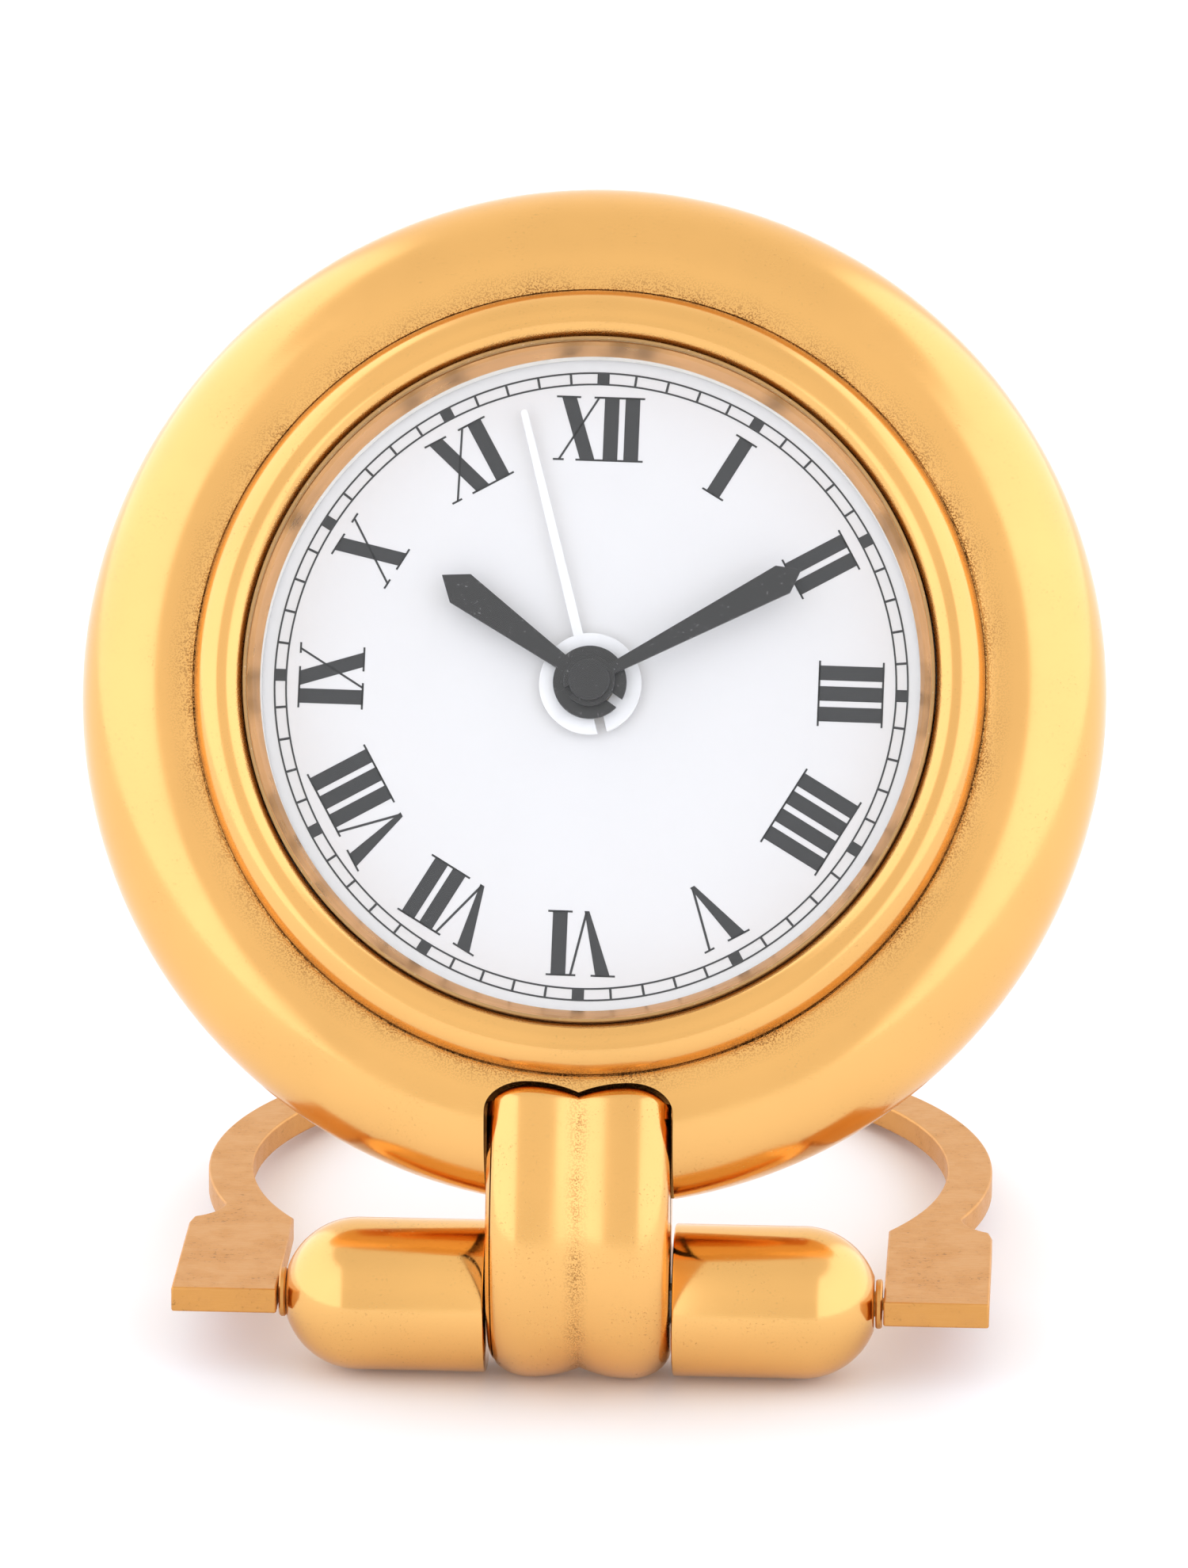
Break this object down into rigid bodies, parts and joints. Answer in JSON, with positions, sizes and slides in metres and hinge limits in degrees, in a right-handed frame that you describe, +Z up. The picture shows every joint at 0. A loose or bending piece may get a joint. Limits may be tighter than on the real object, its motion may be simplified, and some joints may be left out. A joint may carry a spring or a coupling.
{
  "type": "travel alarm clock",
  "caption": "Small round quartz alarm clock with a domed gold ring, white Roman dial, lobed strap and barrel, and a flat loop stand that folds against its back.",
  "frame": {"origin": "on the surface it stands on, under the middle of the whole clock with its stand open", "axes": "+X to the right as one reads the dial, -Y the way the dial faces, +Z up"},
  "size_m": [0.0644, 0.0564, 0.0684],
  "materials": {
    "gold": "polished gold plate with fine wear and dark specks along its seams",
    "aged_gold": "brushed and tarnished gold plate",
    "copper": "satin coppery gold",
    "glass": "clear, polished",
    "dial_white": "satin white lacquer with black printing",
    "hand_white": "satin white",
    "hand_black": "satin black",
    "gasket": "matte",
    "white_plastic": "moulded",
    "black_plastic": "moulded",
    "board": "lacquered",
    "winding": "enamelled wire",
    "wheel_brass": "turned",
    "steel": "turned and polished"
  },
  "bodies": {
    "head": {"case_ring": "gold", "inner_bezel": "gold", "crystal": "glass", "crystal_gasket": "gasket", "dial_flange": "copper", "dial": "dial_white", "movement_ring": "white_plastic", "main_plate": "white_plastic", "train_bridge": "white_plastic", "movement_screw_1": "steel", "movement_screw_2": "steel", "movement_screw_3": "steel", "circuit_board": "board", "circuit_chip": "black_plastic", "quartz_can": "steel", "coil": "winding", "stator": "steel", "battery": "steel", "battery_contact_positive": "wheel_brass", "battery_contact_negative": "wheel_brass", "buzzer_disc": "wheel_brass", "alarm_leaf": "wheel_brass", "back_cover": "gold", "back_gasket": "gasket", "case_screw_1": "steel", "case_screw_2": "steel", "case_screw_3": "steel", "case_screw_4": "steel", "strap": "gold", "strap_screw_left": "steel", "strap_screw_right": "steel", "barrel_left": "gold", "barrel_right": "gold", "barrel_rod": "steel"},
    "stand": {"stand_loop": "aged_gold", "stand_pin_left": "aged_gold", "stand_pin_right": "aged_gold"},
    "time_knob": {"time_knob": "gold", "time_stem": "steel"},
    "motion_wheel": {"motion_wheel": "white_plastic"},
    "minute_hand": {"minute_hand": "hand_black", "minute_arbor": "steel", "hand_cap": "hand_black"},
    "hour_hand": {"hour_hand": "hand_black", "hour_wheel": "wheel_brass"},
    "alarm_knob": {"alarm_knob": "gold", "alarm_stem": "steel"},
    "alarm_hand": {"alarm_hand": "hand_white", "alarm_wheel": "wheel_brass"},
    "centre_wheel": {"centre_wheel": "wheel_brass"},
    "intermediate_wheel": {"intermediate_wheel": "wheel_brass"},
    "rotor": {"rotor": "steel"},
    "alarm_switch": {"alarm_switch": "gold"},
    "battery_hatch": {"battery_hatch": "gold"}
  },
  "joints": [
    {"name": "stand_fold", "type": "hinge", "parent": "head", "child": "stand", "pos_m": [0, -0.02105, 0.005], "axis": [1, 0, 0], "range_deg": [0, 65.67]},
    {"name": "time_knob_turn", "type": "hinge", "parent": "head", "child": "time_knob", "pos_m": [-0.01017, -0.01019, 0.03963], "axis": [0, -0.8704, 0.4924], "continuous": true},
    {"name": "motion_wheel_turn", "type": "hinge", "parent": "head", "child": "motion_wheel", "pos_m": [-0.00571, -0.00821, 0.04312], "axis": [0, -0.8704, 0.4924], "continuous": true},
    {"name": "minute_turn", "type": "hinge", "parent": "head", "child": "minute_hand", "pos_m": [0, -0.00912, 0.04151], "axis": [0, -0.8704, 0.4924], "continuous": true},
    {"name": "hour_turn", "type": "hinge", "parent": "head", "child": "hour_hand", "pos_m": [0, -0.00912, 0.04151], "axis": [0, -0.8704, 0.4924], "continuous": true},
    {"name": "alarm_knob_turn", "type": "hinge", "parent": "head", "child": "alarm_knob", "pos_m": [0.01017, -0.01019, 0.03963], "axis": [0, -0.8704, 0.4924], "continuous": true},
    {"name": "alarm_turn", "type": "hinge", "parent": "head", "child": "alarm_hand", "pos_m": [0, -0.00912, 0.04151], "axis": [0, -0.8704, 0.4924], "continuous": true},
    {"name": "centre_wheel_turn", "type": "hinge", "parent": "head", "child": "centre_wheel", "pos_m": [0, -0.00912, 0.04151], "axis": [0, -0.8704, 0.4924], "continuous": true},
    {"name": "intermediate_turn", "type": "hinge", "parent": "head", "child": "intermediate_wheel", "pos_m": [0.00344, -0.00619, 0.0467], "axis": [0, -0.8704, 0.4924], "continuous": true},
    {"name": "rotor_turn", "type": "hinge", "parent": "head", "child": "rotor", "pos_m": [0.00449, -0.00426, 0.05011], "axis": [0, -0.8704, 0.4924], "continuous": true},
    {"name": "alarm_switch_slide", "type": "slide", "parent": "head", "child": "alarm_switch", "axis": [1, 0, 0], "range_m": [0, 0.003]},
    {"name": "battery_hatch_turn", "type": "hinge", "parent": "head", "child": "battery_hatch", "pos_m": [0, -0.01577, 0.02976], "axis": [0, -0.8704, 0.4924], "range_deg": [0, 60]}
  ],
  "couplings": [
    {"joint": "motion_wheel_turn", "follows": "time_knob_turn", "ratio": -0.33333},
    {"joint": "minute_turn", "follows": "time_knob_turn", "ratio": 1},
    {"joint": "hour_turn", "follows": "time_knob_turn", "ratio": 0.083333},
    {"joint": "alarm_turn", "follows": "alarm_knob_turn", "ratio": -0.3125},
    {"joint": "intermediate_turn", "follows": "centre_wheel_turn", "ratio": -7.5},
    {"joint": "rotor_turn", "follows": "centre_wheel_turn", "ratio": 30}
  ]
}
